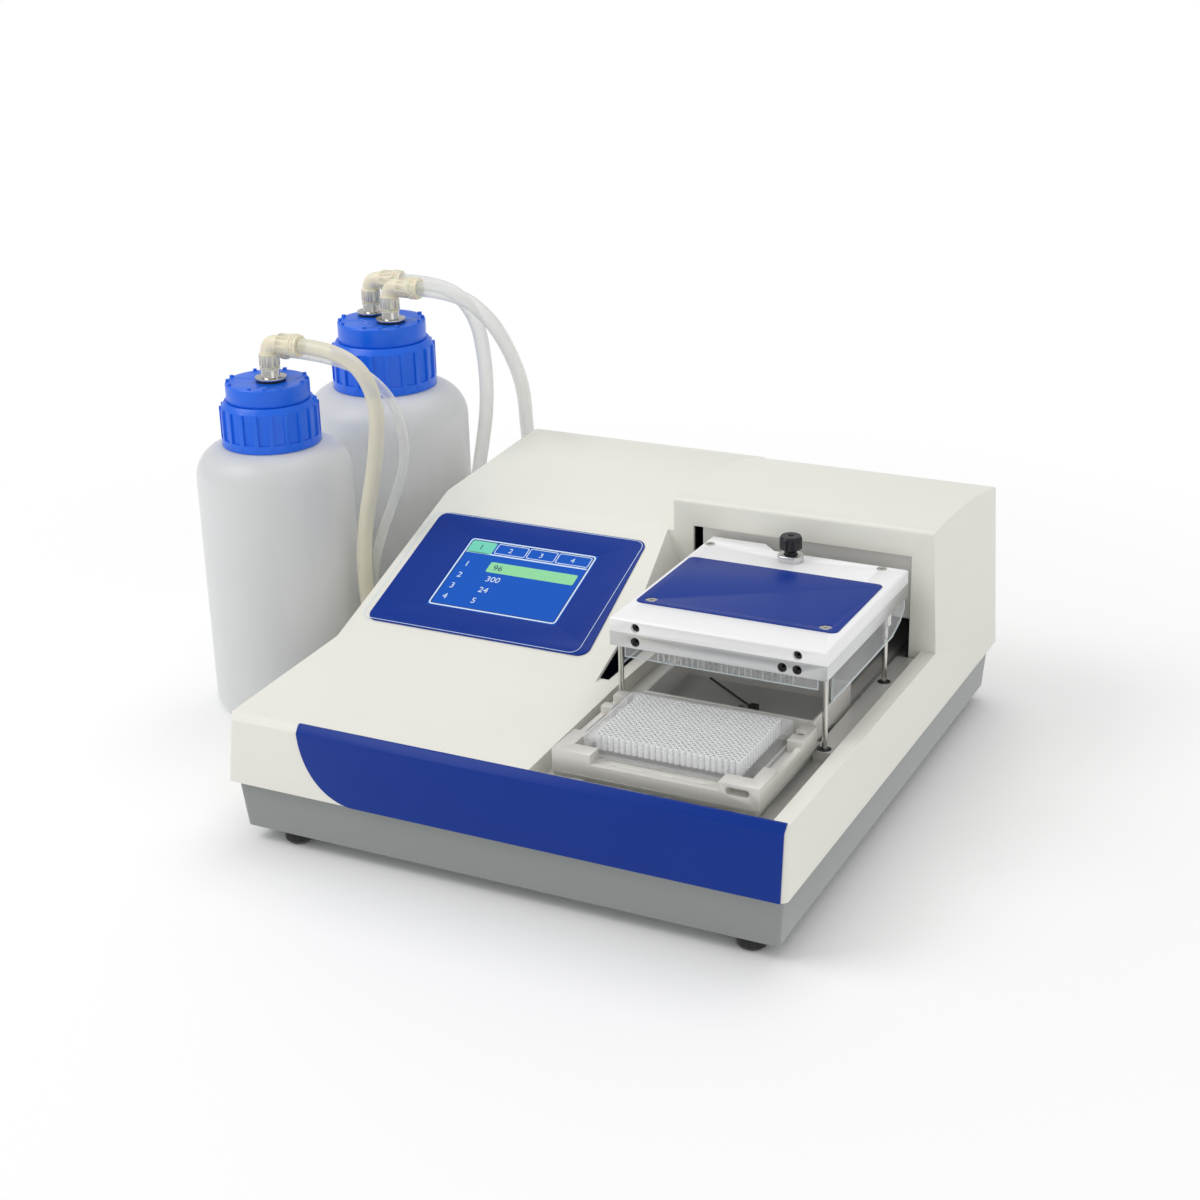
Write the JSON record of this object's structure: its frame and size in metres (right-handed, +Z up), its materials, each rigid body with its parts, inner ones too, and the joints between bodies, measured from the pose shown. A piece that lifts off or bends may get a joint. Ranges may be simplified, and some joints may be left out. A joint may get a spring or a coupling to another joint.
{
  "type": "microplate washer",
  "caption": "Bench-top microplate washer with a sloping console, a sliding plate stage under a lifting wash head, and two supply bottles joined by hoses.",
  "frame": {"origin": "on the bench under the middle of the whole set, hoses left out", "axes": "+X to the right along the front, +Y to the back, +Z up"},
  "size_m": [0.614, 0.5951, 0.3358],
  "materials": {
    "shell_plastic": "fine-grained cream plastic",
    "base_paint": "satin grey paint",
    "blue_plastic": "blue, smooth",
    "white_coat": "white powder coat on aluminium",
    "display": "lit display window",
    "steel": "brushed",
    "bare_aluminium": "machined",
    "carrier_aluminium": "warm grey hard coat",
    "black_plastic": "black",
    "rubber": "black rubber",
    "clear_plastic": "clear",
    "plate_plastic": "clear polystyrene",
    "bottle_plastic": "translucent natural plastic",
    "cap_plastic": "bright blue",
    "ivory_plastic": "ivory",
    "hose_plastic": "soft translucent hose"
  },
  "bodies": {
    "housing": {"base_pan": "base_paint", "bay_liner": "black_plastic", "bottle_front": "bottle_plastic", "bottle_rear": "bottle_plastic", "cap_insert_front": "cap_plastic", "cap_insert_rear": "cap_plastic", "chassis_plate": "bare_aluminium", "chassis_standoffs": "steel", "console_panel": "blue_plastic", "dip_tubes": "clear_plastic", "display_screen": "display", "elbows": "ivory_plastic", "fitting_seals": "rubber", "fitting_stems": "steel", "front_band": "blue_plastic", "head_backplate": "steel", "hose_barbs": "steel", "lift_motor": "black_plastic", "panel_screws": "steel", "post_bushings": "black_plastic", "power_inlet": "black_plastic", "rear_panel": "steel", "rubber_feet": "rubber", "serial_port": "steel", "stage_belt": "rubber", "stage_motor": "black_plastic", "stage_rails": "steel", "switch_frame": "black_plastic", "upper_shell": "shell_plastic", "vent_elbow": "ivory_plastic", "vent_hose": "hose_plastic", "wash_hose_1": "hose_plastic", "wash_hose_2": "hose_plastic", "waste_hose": "hose_plastic"},
    "wash_head": {"head_block": "bare_aluminium", "head_cover": "white_coat", "head_label": "blue_plastic", "head_screws": "steel", "front_sockets": "steel", "tube_manifold": "bare_aluminium", "thumb_collar": "bare_aluminium", "guide_posts": "steel", "splash_shields": "clear_plastic", "lift_yoke": "bare_aluminium", "lift_nut": "steel"},
    "head_knob": {"thumb_screw": "black_plastic"},
    "lead_screw": {"lift_screw": "steel"},
    "stage": {"stage_base": "bare_aluminium", "plate_carrier": "carrier_aluminium", "microplate": "plate_plastic", "wash_trough": "carrier_aluminium", "level_probe": "black_plastic", "runner_blocks": "steel"},
    "clamp_lever": {"plate_clamp": "steel"},
    "front_pulley": {"idler_pulley": "bare_aluminium"},
    "rear_pulley": {"drive_pulley": "bare_aluminium"},
    "rocker": {"power_switch": "black_plastic"},
    "front_ring": {"cap_ring_front": "cap_plastic"},
    "rear_ring": {"cap_ring_rear": "cap_plastic"}
  },
  "joints": [
    {"name": "head_lift", "type": "slide", "parent": "housing", "child": "wash_head", "axis": [0, 0, 1], "range_m": [-0.023, 0]},
    {"name": "lead_screw_turn", "type": "hinge", "parent": "housing", "child": "lead_screw", "pos_m": [0.203, -0.04965, 0.046], "axis": [0, 0, 1], "range_deg": [-1381, 0]},
    {"name": "knob_turn", "type": "hinge", "parent": "wash_head", "child": "head_knob", "pos_m": [0.197, 0.03535, 0.173], "axis": [0, 0, 1], "range_deg": [0, 1080]},
    {"name": "stage_slide", "type": "slide", "parent": "housing", "child": "stage", "axis": [0, 1, 0], "range_m": [0, 0.097]},
    {"name": "clamp_swing", "type": "hinge", "parent": "stage", "child": "clamp_lever", "pos_m": [0.2735, -0.13665, 0.102], "axis": [0, 0, 1], "range_deg": [0, 12], "stiffness_Nm_per_rad": 0.02},
    {"name": "front_pulley_turn", "type": "hinge", "parent": "housing", "child": "front_pulley", "pos_m": [0.203, -0.21465, 0.088], "axis": [0, 0, 1], "range_deg": [0, 733]},
    {"name": "rear_pulley_turn", "type": "hinge", "parent": "housing", "child": "rear_pulley", "pos_m": [0.203, 0.08935, 0.088], "axis": [0, 0, 1], "range_deg": [0, 733]},
    {"name": "rocker_tip", "type": "hinge", "parent": "housing", "child": "rocker", "pos_m": [0.089, 0.22785, 0.089], "axis": [1, 0, 0], "range_deg": [0, 16]},
    {"name": "front_ring_turn", "type": "hinge", "parent": "housing", "child": "front_ring", "pos_m": [-0.243, -0.00865, 0.229], "axis": [0, 0, 1], "range_deg": [0, 540]},
    {"name": "rear_ring_turn", "type": "hinge", "parent": "housing", "child": "rear_ring", "pos_m": [-0.233, 0.15135, 0.237], "axis": [0, 0, 1], "range_deg": [0, 540]}
  ],
  "couplings": [
    {"joint": "lead_screw_turn", "follows": "head_lift", "rad_per_m": 1047.2},
    {"joint": "front_pulley_turn", "follows": "stage_slide", "rad_per_m": 131.58},
    {"joint": "rear_pulley_turn", "follows": "stage_slide", "rad_per_m": 131.58}
  ]
}
